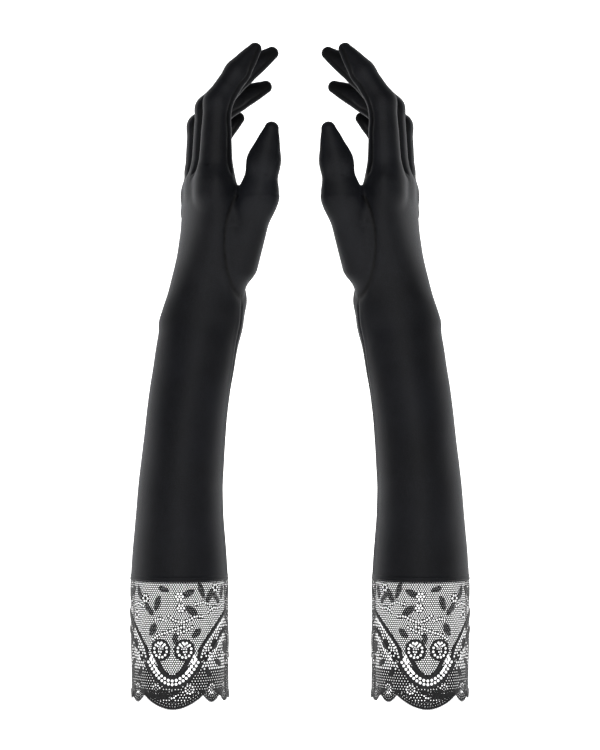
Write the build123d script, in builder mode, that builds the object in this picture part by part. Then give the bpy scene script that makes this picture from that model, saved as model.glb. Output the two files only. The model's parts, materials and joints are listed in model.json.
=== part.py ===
from build123d import *
from math import cos, radians, sin
import os

# A pair of elbow-length opera gloves, filled out as if worn on two raised hands.
# Millimetres. The origin is the centre of the left glove's arm opening, +Z points towards
# the fingertips, +X from the left glove to the right one and +Y away from the thumbs.
# Every piece is drawn for the left glove, and the right one is its mirror image.
#
# A point of the hand is given by depth (towards the palm), across (from the thumb's side to
# the little finger's side) and height. The hand is turned a little about the forearm.

# ---- driving dimensions -------------------------------------------------------------------
PAIR_MIDPLANE = 82.0  # half the distance between the two arm openings
HAND_TURN = 12.0  # degrees that the palm is turned away from +X
CLOTH = 1.2  # wall of the filled satin
HINGE_GAP = 0.3  # clear space each side of a hinge line
HINGE_MARGIN = 1.0  # spare degrees on each face beside a hinge
OVERRUN = 7.0  # length that a tube runs past its hinge before it is trimmed

# Cuff: a tube of stretch lace, sewn to the sleeve by a narrow seam band
CUFF_HALF_WIDTH = 33.0
CUFF_HALF_DEPTH = 38.0
LACE_HEIGHT = 86.0
LACE_WALL = 1.0
SEAM_HEIGHT = 3.0
SEAM_PROUD = 0.4
SCALLOP_CUSP_HEIGHT = 11.0
SCALLOP_CUSP_HALF_WIDTH = 8.0
LARGE_SCALLOP = 70.0  # degrees round the cuff
SMALL_SCALLOP = 27.0
SMALL_SCALLOPS = 3  # between one large scallop and the next
SCALLOP_CENTRE = -96.0  # degrees from +X of the middle of the front large scallop
SIDE_SEAM = -12.0  # degrees from +X of the sleeve's side seam, where the lace's ends meet

# Sleeve: height, centre along X, half width along X, half depth along Y
SLEEVE_STATIONS = [
    (LACE_HEIGHT + SEAM_HEIGHT, 0.0, 33.0, 37.8),
    (114, 0.0, 31.0, 36.5),
    (150, 0.7, 28.5, 35.2),
    (194, 4.7, 27.6, 33.0),
    (230, 9.8, 27.5, 29.4),
    (261, 15.2, 28.6, 26.0),
]

# Hand: height, centre in depth, half thickness, half breadth
HAND_STATIONS = [
    (255, 14.6, 28.6, 26.2),
    (276, 18.6, 27.4, 25.4),
    (296, 19.4, 22.8, 30.4),
    (318, 19.8, 18.6, 36.6),
    (342, 19.4, 16.0, 41.0),
    (372, 17.8, 13.4, 42.0),
]

# Wrist hinge
WRIST_DEPTH = 14.9
WRIST_HEIGHT = 258.0
WRIST_LEAN = 8.0  # degrees from vertical of the line that bisects forearm and hand
WRIST_FLEX = 6.0
WRIST_BACK = 40.0

# Fingers: place of the root hinge (across, depth, height), lengths and leans of the three
# bones, radius at the three hinges, and travel of the root and middle hinges
FINGERS = {
    "index": {
        "root": (-32.0, 17.9, 364.0), "lengths": (44.0, 24.0, 23.5), "leans": (3.5, 33.0, 33.0),
        "radii": (9.8, 9.0, 8.0), "root_travel": (-20, 45), "middle_travel": (-28, 55),
    },
    "middle": {
        "root": (-10.6, 16.6, 365.0), "lengths": (40.0, 32.5, 30.0), "leans": (3.0, 42.0, 55.0),
        "radii": (9.8, 9.2, 8.2), "root_travel": (-20, 55), "middle_travel": (-38, 45),
    },
    "ring": {
        "root": (10.8, 15.6, 363.0), "lengths": (31.5, 30.5, 27.5), "leans": (2.0, 52.0, 66.0),
        "radii": (9.6, 9.0, 8.0), "root_travel": (-20, 55), "middle_travel": (-48, 40),
    },
    "little": {
        "root": (31.5, 17.6, 352.0), "lengths": (24.0, 20.5, 21.5), "leans": (6.0, 42.0, 49.0),
        "radii": (9.0, 8.2, 7.2), "root_travel": (-20, 55), "middle_travel": (-34, 50),
    },
}
BONES = ("proximal", "middle", "tip")
TIP_FOLLOWS = 0.3  # turn of the tip hinge for each degree of the middle hinge

# Thumb: base inside the hand, root hinge, tip hinge and tip, each (across, depth, height)
THUMB_POINTS = [(-20.0, 36.0, 290.0), (-40.5, 46.6, 344.0), (-46.5, 49.0, 367.0), (-53.0, 54.3, 394.0)]
THUMB_RADII = (10.6, 9.8)
THUMB_ROOT_TRAVEL = (-15, 25)
THUMB_TIP_TRAVEL = (-10, 45)
GUSSET_START_RADIUS = 5.0
GUSSET_START_BACK = 24.0  # distance behind the thumb's base where the gusset's bulge begins
GUSSET_BULGE_RADIUS = 16.5
GUSSET_BULGE_AHEAD = 8.0

# Fourchettes: thin strips of cloth between neighbouring finger roots
FOURCHETTE_WALL = 1.0
FOURCHETTE_DROP = 14.0  # reach of a strip below the crotch of two fingers
FOURCHETTE_RISE = 1.0  # reach above the higher root hinge
FOURCHETTE_DIP = 3.0  # sag of the strip's upper edge

# ---- directions and places ----------------------------------------------------------------
PALM = Vector(cos(radians(HAND_TURN)), sin(radians(HAND_TURN)), 0)
BREADTH = Vector(-sin(radians(HAND_TURN)), cos(radians(HAND_TURN)), 0)
UP = Vector(0, 0, 1)
MIRROR_PLANE = Plane.YZ.offset(PAIR_MIDPLANE)


def hand_point(across, depth, height):
    """A point of the left hand from its place across, its depth and its height."""
    return PALM * depth + BREADTH * across + UP * height


def leaning(degrees):
    """The direction that leans by so many degrees from straight up towards the palm."""
    return PALM * sin(radians(degrees)) + UP * cos(radians(degrees))


def finger_joints(finger):
    """The root hinge, middle hinge, tip hinge and tip of a finger."""
    points = [hand_point(*finger["root"])]
    for length, lean in zip(finger["lengths"], finger["leans"]):
        points.append(points[-1] + leaning(lean) * length)
    return points


# ---- hinges -------------------------------------------------------------------------------
def hinge_faces(pivot, axis, along, travel):
    """The faces that trim the two pieces at a hinge, as a pair of lists: before and after.

    Each piece ends in a gable with its ridge on the hinge line, so that the gap on either
    side just closes at the end of the travel. The normals point along the limb.
    """
    along = (along - axis * along.dot(axis)).normalized()
    plus_side = axis.cross(along)
    before, after = [], []
    for limit, side in ((travel[1], plus_side), (-travel[0], plus_side * -1)):
        half = radians(limit / 2 + HINGE_MARGIN)
        down = along * cos(half) + side * sin(half)
        up = along * cos(half) - side * sin(half)
        before.append(Plane(pivot - down * HINGE_GAP, z_dir=down))
        after.append(Plane(pivot + up * HINGE_GAP, z_dir=up))
    return before, after


def trim(faces, keep):
    """Cuts the part being built with each of the faces."""
    for face in faces:
        split(bisect_by=face, keep=keep)


def bisector(first, second):
    """The direction halfway between two limbs."""
    return (first.normalized() + second.normalized()).normalized()


WRIST_PIVOT = hand_point(0, WRIST_DEPTH, WRIST_HEIGHT)
WRIST_FACES = hinge_faces(WRIST_PIVOT, BREADTH, leaning(WRIST_LEAN), (-WRIST_BACK, WRIST_FLEX))


# ---- writing ------------------------------------------------------------------------------
os.makedirs("parts", exist_ok=True)


def write(piece, name):
    """Labels one piece and writes its STEP file."""
    piece.part.label = name
    export_step(piece.part, f"parts/{name}.step")


def write_pair(left_piece, name):
    """Writes a piece of the left glove and its mirror image for the right glove."""
    with BuildPart() as right_piece:
        mirror(left_piece.part, about=MIRROR_PLANE)
    write(left_piece, f"left_{name}")
    write(right_piece, f"right_{name}")


# ---- shapes that several pieces share -----------------------------------------------------
def sleeve_sections(inset):
    """Cross-sections of the filled sleeve, their outlines moved in by the inset."""
    sections = []
    for height, centre, half_width, half_depth in SLEEVE_STATIONS:
        with BuildSketch(Plane((centre, 0, height))) as section:
            Ellipse(half_width - inset, half_depth - inset)
        sections.append(section.sketch)
    return sections


def hand_sections(inset):
    """Cross-sections of the hand from the wrist to the finger roots, without the thumb."""
    sections = []
    for height, depth, half_thickness, half_breadth in HAND_STATIONS:
        with BuildSketch(Plane(hand_point(0, depth, height), x_dir=PALM, z_dir=UP)) as section:
            Ellipse(half_thickness - inset, half_breadth - inset)
        sections.append(section.sketch)
    return sections


def limb_plane(start, end, side):
    """A plane whose Y axis runs from start to end, for the profile of a round limb."""
    along = (end - start).normalized()
    across = (side - along * side.dot(along)).normalized()
    return Plane(start, x_dir=across, z_dir=across.cross(along))


def revolve_limb(profile, plane):
    """Turns a half section about the limb's own line."""
    revolve(profile, axis=Axis(plane.origin, plane.y_dir))


def tube_profile(plane, length, start_radius, end_radius):
    """Half section of an open tapered tube that overruns both of its hinges."""
    taper = (start_radius - end_radius) / length
    low, high = start_radius + taper * OVERRUN, end_radius - taper * OVERRUN
    with BuildSketch(plane) as profile:
        with BuildLine():
            Polyline(
                (low - CLOTH, -OVERRUN), (low, -OVERRUN), (high, length + OVERRUN),
                (high - CLOTH, length + OVERRUN), close=True,
            )
        make_face()
    return profile.sketch


def tip_profile(plane, length, radius):
    """Half section of a closed, pointed fingertip that overruns its hinge."""
    inner = radius - CLOTH
    end = length - 1.5 * CLOTH
    with BuildSketch(plane) as profile:
        with BuildLine():
            Line((inner, -OVERRUN), (radius, -OVERRUN))
            Line((radius, -OVERRUN), (radius, 0))
            Bezier((radius, 0), (radius, 0.62 * length), (0.42 * radius, length), (0, length))
            Line((0, length), (0, end))
            Bezier((0, end), (0.42 * inner, end), (inner, 0.62 * end), (inner, 0))
            Line((inner, 0), (inner, -OVERRUN))
        make_face()
    return profile.sketch


def gusset_profile(plane, length, inset):
    """Half section of the swelling at the thumb's base, its surface moved in by the inset."""
    end_radius = THUMB_RADII[0]
    with BuildSketch(plane) as profile:
        with BuildLine():
            Polyline(
                (end_radius - inset, length),
                (end_radius - inset, length + OVERRUN),
                (0, length + OVERRUN),
                (0, -GUSSET_START_BACK),
                (GUSSET_START_RADIUS - inset, -GUSSET_START_BACK),
            )
            ThreePointArc(
                (GUSSET_START_RADIUS - inset, -GUSSET_START_BACK),
                (GUSSET_BULGE_RADIUS - inset, GUSSET_BULGE_AHEAD),
                (end_radius - inset, length),
            )
        make_face()
    return profile.sketch


# ---- cuff ---------------------------------------------------------------------------------
def cuff_ring(outset, wall):
    """Pending sketch of the cuff's oval wall."""
    Ellipse(CUFF_HALF_WIDTH + outset, CUFF_HALF_DEPTH + outset)
    Ellipse(CUFF_HALF_WIDTH + outset - wall, CUFF_HALF_DEPTH + outset - wall, mode=Mode.SUBTRACT)


def cusp_angles():
    """Angles round the cuff where two scallops meet, for one turn that starts at the side seam."""
    repeat = LARGE_SCALLOP + SMALL_SCALLOPS * SMALL_SCALLOP
    angles = []
    for turn in range(-2, 3):
        first = SCALLOP_CENTRE + turn * repeat - LARGE_SCALLOP / 2
        angles += [first] + [first - i * SMALL_SCALLOP for i in range(1, SMALL_SCALLOPS + 1)]
    clear = SMALL_SCALLOP / 3  # no cusp this near the seam
    return [angle for angle in angles if SIDE_SEAM - 360 + clear < angle < SIDE_SEAM - clear]


with BuildPart() as lace_cuff:
    with BuildSketch():
        cuff_ring(0, LACE_WALL)
    extrude(amount=LACE_HEIGHT)
    for angle in cusp_angles():
        outward = Vector(cos(radians(angle)), sin(radians(angle)), 0)
        with BuildSketch(Plane((0, 0, 0), x_dir=UP.cross(outward), z_dir=outward)):
            with BuildLine():
                apex = (0, SCALLOP_CUSP_HEIGHT)
                left_foot = (-SCALLOP_CUSP_HALF_WIDTH, -1)
                right_foot = (SCALLOP_CUSP_HALF_WIDTH, -1)
                Line(left_foot, right_foot)
                RadiusArc(right_foot, apex, 2.2 * SCALLOP_CUSP_HALF_WIDTH)
                RadiusArc(apex, left_foot, 2.2 * SCALLOP_CUSP_HALF_WIDTH)
            make_face()
        extrude(amount=CUFF_HALF_DEPTH + 5, mode=Mode.SUBTRACT)

write_pair(lace_cuff, "lace_cuff")

with BuildPart() as cuff_seam:
    with BuildSketch(Plane.XY.offset(LACE_HEIGHT)):
        cuff_ring(SEAM_PROUD, LACE_WALL + 2 * SEAM_PROUD)
    extrude(amount=SEAM_HEIGHT)

write_pair(cuff_seam, "cuff_seam")

# ---- sleeve -------------------------------------------------------------------------------
with BuildPart() as sleeve:
    loft(sleeve_sections(0))
    loft(sleeve_sections(CLOTH), mode=Mode.SUBTRACT)
    trim(WRIST_FACES[0], Keep.BOTTOM)

write_pair(sleeve, "sleeve")

# ---- thumb --------------------------------------------------------------------------------
thumb_joints = [hand_point(*point) for point in THUMB_POINTS]
base_bone, thumb_bone, tip_bone = (thumb_joints[i + 1] - thumb_joints[i] for i in range(3))
gusset_plane = limb_plane(thumb_joints[0], thumb_joints[1], PALM)
thumb_root_faces = hinge_faces(
    thumb_joints[1], PALM, bisector(base_bone, thumb_bone), THUMB_ROOT_TRAVEL
)
thumb_tip_faces = hinge_faces(
    thumb_joints[2], PALM * -1, bisector(thumb_bone, tip_bone), THUMB_TIP_TRAVEL
)

with BuildPart() as hand_cavity:
    loft(hand_sections(CLOTH))

with BuildPart() as gusset_solid:
    revolve_limb(gusset_profile(gusset_plane, base_bone.length, 0), gusset_plane)

with BuildPart() as gusset_cavity:
    revolve_limb(gusset_profile(gusset_plane, base_bone.length, CLOTH), gusset_plane)

with BuildPart() as thumb_gusset:
    add(gusset_solid.part)
    add(gusset_cavity.part, mode=Mode.SUBTRACT)
    add(hand_cavity.part, mode=Mode.SUBTRACT)
    trim(WRIST_FACES[1], Keep.TOP)
    trim(thumb_root_faces[0], Keep.BOTTOM)

write_pair(thumb_gusset, "thumb_gusset")

with BuildPart() as thumb_proximal:
    thumb_plane = limb_plane(thumb_joints[1], thumb_joints[2], PALM)
    revolve_limb(tube_profile(thumb_plane, thumb_bone.length, *THUMB_RADII), thumb_plane)
    trim(thumb_root_faces[1], Keep.TOP)
    trim(thumb_tip_faces[0], Keep.BOTTOM)

write_pair(thumb_proximal, "thumb_proximal")

with BuildPart() as thumb_tip:
    thumb_plane = limb_plane(thumb_joints[2], thumb_joints[3], PALM)
    revolve_limb(tip_profile(thumb_plane, tip_bone.length, THUMB_RADII[1]), thumb_plane)
    trim(thumb_tip_faces[1], Keep.TOP)

write_pair(thumb_tip, "thumb_tip")

# ---- fingers ------------------------------------------------------------------------------
root_faces = {}
for finger_name, finger in FINGERS.items():
    joints = finger_joints(finger)
    directions = [leaning(0)] + [leaning(lean) for lean in finger["leans"]]
    tip_travel = [limit * TIP_FOLLOWS for limit in finger["middle_travel"]]
    travels = (finger["root_travel"], finger["middle_travel"], tip_travel)
    faces = [
        hinge_faces(joints[i], BREADTH, bisector(directions[i], directions[i + 1]), travels[i])
        for i in range(3)
    ]
    root_faces[finger_name] = faces[0]
    for i, bone_name in enumerate(BONES):
        bone_plane = limb_plane(joints[i], joints[i + 1], PALM)
        if bone_name == "tip":
            profile = tip_profile(bone_plane, finger["lengths"][i], finger["radii"][i])
        else:
            profile = tube_profile(bone_plane, finger["lengths"][i], *finger["radii"][i:i + 2])
        with BuildPart() as finger_bone:
            revolve_limb(profile, bone_plane)
            trim(faces[i][1], Keep.TOP)
            if bone_name != "tip":
                trim(faces[i + 1][0], Keep.BOTTOM)
        write_pair(finger_bone, f"{finger_name}_{bone_name}")

# ---- hand ---------------------------------------------------------------------------------
# The hand's upper edge has a gable below each finger root, cut in that finger's own strip.
names = list(FINGERS)
middles = [
    (FINGERS[a]["root"][0] + FINGERS[b]["root"][0]) / 2 for a, b in zip(names, names[1:])
]
edges = [-60.0] + middles + [60.0]
BLOCK = 60.0  # reach of the blocks that clear the space above the gables

with BuildPart() as hand:
    loft(hand_sections(0))
    loft(hand_sections(CLOTH), mode=Mode.SUBTRACT)
    add(gusset_solid.part, mode=Mode.SUBTRACT)
    trim(WRIST_FACES[1], Keep.TOP)

for finger_name, low_edge, high_edge in zip(names, edges, edges[1:]):
    pivot_depth, pivot_height = FINGERS[finger_name]["root"][1:]
    with BuildPart() as strip_above:
        centre = hand_point((low_edge + high_edge) / 2, pivot_depth, pivot_height)
        with BuildSketch(Plane(centre, x_dir=PALM, z_dir=UP)):
            Rectangle(2 * BLOCK, high_edge - low_edge)
        extrude(amount=BLOCK, both=True)
    with BuildPart() as strip_below:
        add(strip_above.part)
        trim(root_faces[finger_name][0], Keep.BOTTOM)
    with BuildPart() as trimmed_hand:
        add(hand.part)
        add(strip_above.part - strip_below.part, mode=Mode.SUBTRACT)
    hand = trimmed_hand

write_pair(hand, "hand")

# ---- fourchettes --------------------------------------------------------------------------
for first, second, across in zip(names, names[1:], middles):
    crotch = max(FINGERS[first]["root"][2], FINGERS[second]["root"][2])
    depth = (FINGERS[first]["root"][1] + FINGERS[second]["root"][1]) / 2
    top, bottom = FOURCHETTE_RISE, -FOURCHETTE_DROP
    reach = max(station[2] for station in HAND_STATIONS)
    strip_plane = Plane(hand_point(across, depth, crotch), x_dir=PALM, z_dir=BREADTH * -1)
    with BuildPart() as fourchette:
        with BuildSketch(strip_plane):
            with BuildLine():
                Polyline((-reach, top), (-reach, bottom), (reach, bottom), (reach, top))
                ThreePointArc((reach, top), (0, top - FOURCHETTE_DIP), (-reach, top))
            make_face()
        extrude(amount=FOURCHETTE_WALL / 2, both=True)
        add(hand_cavity.part, mode=Mode.INTERSECT)
    write_pair(fourchette, f"fourchette_{first}_{second}")
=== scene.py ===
import json
from math import cos, pi, radians, sin, tau

import bpy
import numpy as np
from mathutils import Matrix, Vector


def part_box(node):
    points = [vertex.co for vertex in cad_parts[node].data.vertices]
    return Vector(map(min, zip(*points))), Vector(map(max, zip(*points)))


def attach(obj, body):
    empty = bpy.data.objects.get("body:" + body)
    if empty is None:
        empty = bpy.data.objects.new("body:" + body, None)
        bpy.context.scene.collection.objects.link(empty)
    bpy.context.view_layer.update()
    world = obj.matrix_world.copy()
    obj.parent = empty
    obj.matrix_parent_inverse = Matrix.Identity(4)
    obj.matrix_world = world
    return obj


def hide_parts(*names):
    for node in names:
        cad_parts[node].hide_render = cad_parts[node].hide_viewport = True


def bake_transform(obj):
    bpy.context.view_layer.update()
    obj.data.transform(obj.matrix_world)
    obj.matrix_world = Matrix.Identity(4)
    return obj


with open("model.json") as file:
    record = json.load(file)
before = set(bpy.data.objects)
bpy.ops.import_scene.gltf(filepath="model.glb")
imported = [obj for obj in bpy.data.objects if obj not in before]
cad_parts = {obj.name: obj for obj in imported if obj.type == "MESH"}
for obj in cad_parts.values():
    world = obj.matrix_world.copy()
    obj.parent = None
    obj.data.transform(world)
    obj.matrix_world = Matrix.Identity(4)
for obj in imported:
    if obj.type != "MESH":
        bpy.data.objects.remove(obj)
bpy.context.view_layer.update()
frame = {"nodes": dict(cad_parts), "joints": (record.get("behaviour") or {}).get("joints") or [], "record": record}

# A pair of black satin opera gloves with lace cuffs, as if worn on two raised hands.
# Every shape is worked out in millimetres for the left glove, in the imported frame, and mirrored
# for the right one. Objects are made in metres.

MM = 1000.0
SIDES = ("left", "right")
UP = np.array((0.0, 0.0, 1.0))

joints = {joint["name"]: joint for joint in frame["joints"]}
mounts = {mount["name"]: mount for mount in frame["record"]["mounts"]}
MIDPLANE = (mounts["left_arm_opening"]["pos_m"][0] + mounts["right_arm_opening"]["pos_m"][0]) * MM / 2


def joint_at(name):
    """The hinge's place in millimetres."""
    return np.array(joints[name]["pos_m"]) * MM


def unit(vector):
    return vector / np.linalg.norm(vector)


def node_box(node):
    """Lowest and highest corner of a CAD node, in millimetres."""
    low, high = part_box(node)
    return np.array(low) * MM, np.array(high) * MM


def far_point(node, pivot):
    """The point of a CAD node that lies furthest from the pivot."""
    points = np.array([v.co for v in frame["nodes"][node].data.vertices]) * MM
    return points[np.argmax(np.linalg.norm(points - pivot, axis=1))]


BREADTH = unit(np.array(joints["left_wrist"]["axis"]))  # from the thumb's side to the little finger's
PALM = np.cross(BREADTH, UP)  # out of the palm
WRIST = joint_at("left_wrist")
SEAM_LOW = node_box("left_cuff_seam")[0][2]
SEAM_HIGH = node_box("left_cuff_seam")[1][2]

# ---- the hand inside: bones that carry the cloth ---------------------------------------------
FINGER_NAMES = ("index", "middle", "ring", "little")
FINGER_GIRTHS = {  # radius of the filled finger at its root, middle and tip hinges and at its end
    "index": (10.4, 9.4, 8.3, 4.3),
    "middle": (10.1, 9.4, 8.4, 4.4),
    "ring": (9.8, 9.1, 8.2, 4.3),
    "little": (9.2, 8.4, 7.5, 4.0),
}
TIP_REACH = {"index": 2.2, "middle": 0.6, "ring": 0.0, "little": 0.0}  # bend of the tip to the palm
SIDE_SQUEEZE = 1.07  # fingers are a little narrower than they are deep
ROOT_REACH = 16.0  # length that a finger's form runs on into the hand below its root hinge
THUMB_GIRTHS = (11.2, 10.4, 9.8, 4.9)  # at the root hinge, above it, at the tip hinge and the end
BALL_CENTRE = (34.0, -18.0, 302.0)  # ball of the thumb: depth, across, height
BALL_RADIUS = 17.3

# Sections of the arm and palm: height, centre along X, half thickness, half breadth
SECTIONS = np.array([
    (60, 0.0, 33.4, 38.4),
    (86, 0.0, 33.1, 38.0),
    (107, 0.0, 31.8, 36.9),
    (128, 0.1, 29.9, 36.0),
    (150, 0.7, 28.5, 35.2),
    (172, 2.5, 28.0, 34.2),
    (194, 4.7, 27.7, 32.8),
    (215, 7.3, 27.4, 30.8),
    (237, 10.8, 27.7, 28.4),
    (258, 14.7, 28.6, 26.2),
    (274, 18.0, 28.2, 25.4),
    (290, 19.2, 24.4, 28.6),
    (306, 19.6, 20.8, 33.0),
    (323, 19.8, 18.2, 37.6),
    (340, 19.6, 16.6, 40.6),
    (358, 18.6, 15.4, 42.0),
    (385, 17.5, 14.5, 42.0),
])
SECTION_SOFTNESS = 9.0  # mm over which the sections melt into each other
TURN_START, TURN_END = 205.0, 290.0  # heights between which the arm turns into the hand
CROTCHES = ((-21.3, 361.0), (0.1, 361.0), (21.2, 350.0))  # across, height between finger roots
FINGER_MELT = 7.0  # radius of the soft blend between a finger and the hand


def smooth_steps(heights):
    """Section values at the given heights, softened between the rows of the table."""
    fine = np.arange(SECTIONS[0, 0], SECTIONS[-1, 0], 1.0)
    kernel = np.hanning(int(2 * SECTION_SOFTNESS) + 1)
    kernel /= kernel.sum()
    pad = len(kernel) // 2
    rows = []
    for column in (1, 2, 3):
        values = np.interp(fine, SECTIONS[:, 0], SECTIONS[:, column])
        padded = np.concatenate((np.full(pad, values[0]), values, np.full(pad, values[-1])))
        rows.append(np.interp(heights, fine, np.convolve(padded, kernel, "valid")))
    return rows


def turn_angle(heights):
    """Turn of the section about the vertical, in radians."""
    share = np.clip((heights - TURN_START) / (TURN_END - TURN_START), 0, 1)
    full = np.arctan2(PALM[1], PALM[0])
    return full * share * share * (3 - 2 * share)


def smooth_min(a, b, reach):
    share = np.clip(0.5 + 0.5 * (b - a) / reach, 0, 1)
    return b + (a - b) * share - reach * share * (1 - share)


def limb(points, start, end, start_radius, end_radius, power=1.0):
    """Distance to a round limb whose radius falls from start to end."""
    along = end - start
    share = np.clip((points - start) @ along / (along @ along), 0, 1)
    gap = points - start - share[:, None] * along
    return np.linalg.norm(gap, axis=1) - (start_radius + (end_radius - start_radius) * share ** power)


class Finger:
    """One finger's bones and how its cloth is divided."""

    def __init__(self, name):
        self.name = name
        self.places = [joint_at(f"left_{name}_{place}") for place in ("root", "middle", "tip")]
        self.places.append(far_point(f"left_{name}_tip", self.places[2]) + PALM * TIP_REACH[name])
        self.girths = FINGER_GIRTHS[name]
        self.across = self.places[0] @ BREADTH
        self.bones = [unit(b - a) for a, b in zip(self.places, self.places[1:])]
        self.lengths = [np.linalg.norm(b - a) for a, b in zip(self.places, self.places[1:])]

    def distance(self, points):
        squeezed = points + np.outer((points @ BREADTH - self.across) * (SIDE_SQUEEZE - 1), BREADTH)
        p, r = self.places, self.girths
        shape = limb(squeezed, p[0] - self.bones[0] * ROOT_REACH, p[0], r[0], r[0])
        shape = smooth_min(shape, limb(squeezed, p[0], p[1], r[0], r[1]), 2)
        shape = smooth_min(shape, limb(squeezed, p[1], p[2], r[1], r[2]), 3)
        return smooth_min(shape, limb(squeezed, p[2], p[3] - self.bones[2] * r[3], r[2], r[3], 1.7), 3)


FINGERS = [Finger(name) for name in FINGER_NAMES]
# Cloth stretched from the palm to the index finger on the palm's side: depth, across, height, radius
WEB = ((26.0, -30.0, 328.0, 9.0), (20.3, -31.5, 387.0, 7.6))
web_ends = [PALM * depth + BREADTH * across + UP * height for depth, across, height, _ in WEB]
thumb_places = [joint_at("left_thumb_root"), joint_at("left_thumb_tip")]
thumb_places.append(far_point("left_thumb_tip", thumb_places[1]))
BALL = PALM * BALL_CENTRE[0] + BREADTH * BALL_CENTRE[1] + UP * BALL_CENTRE[2]
thumb_bones = [unit(b - a) for a, b in zip([BALL] + thumb_places, thumb_places)]


def arm_distance(points):
    """Distance to the arm and palm, a tube of changing oval section with a closed upper end."""
    centre, thick, broad = smooth_steps(points[:, 2])
    angle = turn_angle(points[:, 2])
    x, y = points[:, 0] - centre, points[:, 1]
    depth = x * np.cos(angle) + y * np.sin(angle)
    across = y * np.cos(angle) - x * np.sin(angle)
    ring = np.sqrt((depth / thick) ** 2 + (across / broad) ** 2)
    slope = np.sqrt((depth / thick ** 2) ** 2 + (across / broad ** 2) ** 2)
    tube = ring * (ring - 1) / np.maximum(slope, 1e-6)
    top = np.interp(points @ BREADTH, [c[0] for c in CROTCHES], [c[1] for c in CROTCHES])
    return -smooth_min(-tube, -(points[:, 2] - top), 9.0)


def thumb_distance(points):
    p, r = thumb_places, THUMB_GIRTHS
    shape = limb(points, BALL, p[0], BALL_RADIUS, r[0])
    shape = smooth_min(shape, limb(points, p[0], p[1], r[1] + 0.4, r[2] + 0.4), 12)
    return smooth_min(shape, limb(points, p[1], p[2] - thumb_bones[2] * r[3], r[2] + 0.4, r[3], 1.8), 6)


FINGER_FLOOR = 325.0  # fingers shape nothing below this height
THUMB_FLOOR, THUMB_ROOF = 255.0, 410.0


def glove_distance(points):
    """Distance to the filled glove, negative inside, with small folds pressed into the cloth."""
    points = np.asarray(points, float)
    hand = arm_distance(points)
    near = (points[:, 2] > THUMB_FLOOR) & (points[:, 2] < THUMB_ROOF)
    if near.any():
        hand[near] = smooth_min(hand[near], thumb_distance(points[near]), 7.0)
    high = points[:, 2] > FINGER_FLOOR
    if high.any():
        palm = hand[high]
        index = limb(points[high], web_ends[0], web_ends[1], WEB[0][3], WEB[1][3])
        shapes = [finger.distance(points[high]) for finger in FINGERS]
        shapes[0] = smooth_min(shapes[0], index, 5.0)
        hand[high] = np.min([smooth_min(palm, shape, FINGER_MELT) for shape in shapes], axis=0)
    return hand - folds(points)


def folds(points):
    """Height of the soft folds that stretched cloth keeps at the wrist and above the cuff."""
    x, y, z = points.T
    wrist = np.exp(-((z - WRIST[2] - 6) / 24) ** 2)
    crease = 0.35 * np.sin(z / 4.6 + 0.045 * x + 0.05 * y + 1.2 * np.sin(0.06 * y + 0.8))
    arm = np.exp(-((z - 190) / 70) ** 2)
    ripple = 0.22 * np.sin(0.11 * z + 0.09 * x + 1.6 * np.sin(0.05 * y + 0.02 * z))
    back_fold = 0.7 * np.exp(-((z - WRIST[2] - 3) / 5) ** 2) * np.clip(-(x - WRIST[0]) / 28, 0, 1) ** 2
    return wrist * crease + arm * ripple + back_fold


# ---- surface of the field --------------------------------------------------------------------
GRID_STEP = 1.25
GRID_LOW = np.array((-38.0, -64.0, SEAM_HIGH - 1.0))
GRID_HIGH = np.array((78.0, 48.0, 456.0))


def surface(distance):
    """Quads of the zero surface, one vertex for each grid cell that the surface crosses."""
    counts = np.ceil((GRID_HIGH - GRID_LOW) / GRID_STEP).astype(int)
    axes = [GRID_LOW[i] + GRID_STEP * np.arange(counts[i]) for i in range(3)]
    values = np.empty(counts, np.float32)
    for k, height in enumerate(axes[2]):
        gx, gy = np.meshgrid(axes[0], axes[1], indexing="ij")
        layer = np.column_stack((gx.ravel(), gy.ravel(), np.full(gx.size, height)))
        values[:, :, k] = distance(layer).reshape(gx.shape)
    inside = values < 0
    cells = tuple(counts - 1)
    total = np.zeros(cells, np.int8)
    corners = [(i, j, k) for i in (0, 1) for j in (0, 1) for k in (0, 1)]

    def at(array, corner):
        return array[tuple(slice(corner[a], corner[a] + cells[a]) for a in range(3))]

    for corner in corners:
        total += at(inside, corner)
    active = (total > 0) & (total < 8)
    number = np.full(cells, -1, np.int64)
    number[active] = np.arange(active.sum())
    places = np.zeros((active.sum(), 3))
    crossings = np.zeros(active.sum())
    for corner in corners:
        for axis in range(3):
            if corner[axis]:
                continue
            other = tuple(c + (a == axis) for a, c in enumerate(corner))
            first, second = at(values, corner)[active], at(values, other)[active]
            crossed = (first < 0) != (second < 0)
            share = np.where(crossed, first / np.where(crossed, first - second, 1), 0)
            point = np.tile(np.array(corner, float), (len(share), 1))
            point[:, axis] += share
            places[crossed] += point[crossed]
            crossings += crossed
    places = GRID_LOW + GRID_STEP * (np.argwhere(active) + places / crossings[:, None])
    quads = []
    for axis in range(3):
        u, v = (axis + 1) % 3, (axis + 2) % 3
        low = [slice(1, None)] * 3
        low[axis] = slice(0, counts[axis] - 1)
        high = list(low)
        high[axis] = slice(1, counts[axis])
        starts, ends = inside[tuple(low)], inside[tuple(high)]
        for rising in (True, False):
            where = np.argwhere((starts & ~ends) if rising else (~starts & ends))
            where[:, [a for a in range(3) if a != axis]] += 1
            ring = []
            for du, dv in ((1, 1), (0, 1), (0, 0), (1, 0)):
                cell = where.copy()
                cell[:, u] -= du
                cell[:, v] -= dv
                valid = (cell < np.array(cells)).all(axis=1)
                index = np.full(len(cell), -1)
                index[valid] = number[tuple(cell[valid].T)]
                ring.append(index)
            faces = np.column_stack(ring if rising else ring[::-1])
            quads.append(faces[(faces >= 0).all(axis=1)])
    return places, np.concatenate(quads)


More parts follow.
